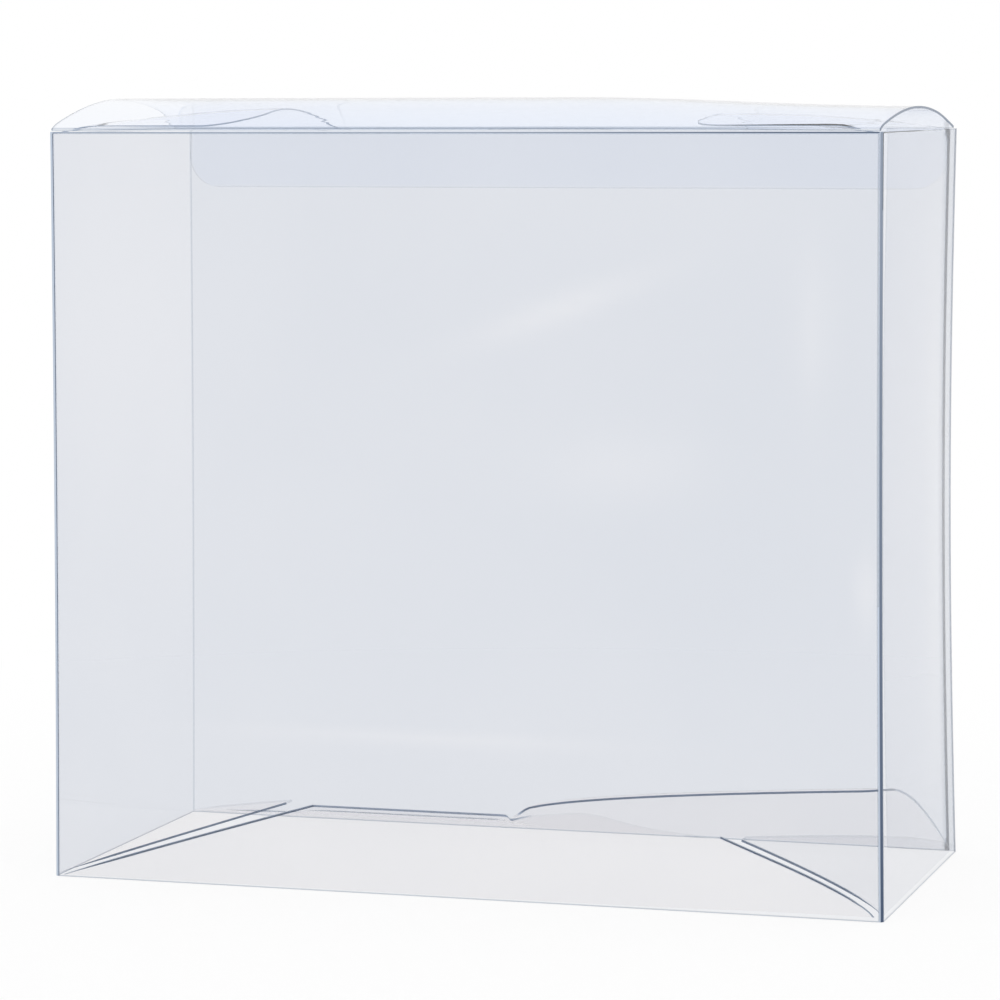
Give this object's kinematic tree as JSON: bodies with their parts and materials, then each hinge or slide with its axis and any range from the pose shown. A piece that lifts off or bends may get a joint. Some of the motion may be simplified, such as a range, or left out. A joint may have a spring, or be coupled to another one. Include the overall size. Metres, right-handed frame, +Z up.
{
  "type": "trading card box protector",
  "caption": "Clear film display box that slips over a sealed box of card packs, with an arched tuck lid and a self-locking bottom.",
  "frame": {"origin": "middle of the base, on the surface that the walls stand on", "axes": "+X along the width to the right, +Y to the back panel, +Z up"},
  "size_m": [0.144, 0.066, 0.1343],
  "materials": {
    "clear_film": "clear glossy film with slate-blue creases and cut edges",
    "clear_film_lid": "clear glossy film, a little paler where it is one layer"
  },
  "bodies": {
    "sleeve": {"sleeve": "clear_film"},
    "lid": {"lid": "clear_film_lid"}
  },
  "joints": [
    {"name": "lid_hinge", "type": "hinge", "parent": "sleeve", "child": "lid", "pos_m": [0, -0.0331, 0.1286], "axis": [1, 0, 0], "range_deg": [0, 180]}
  ]
}
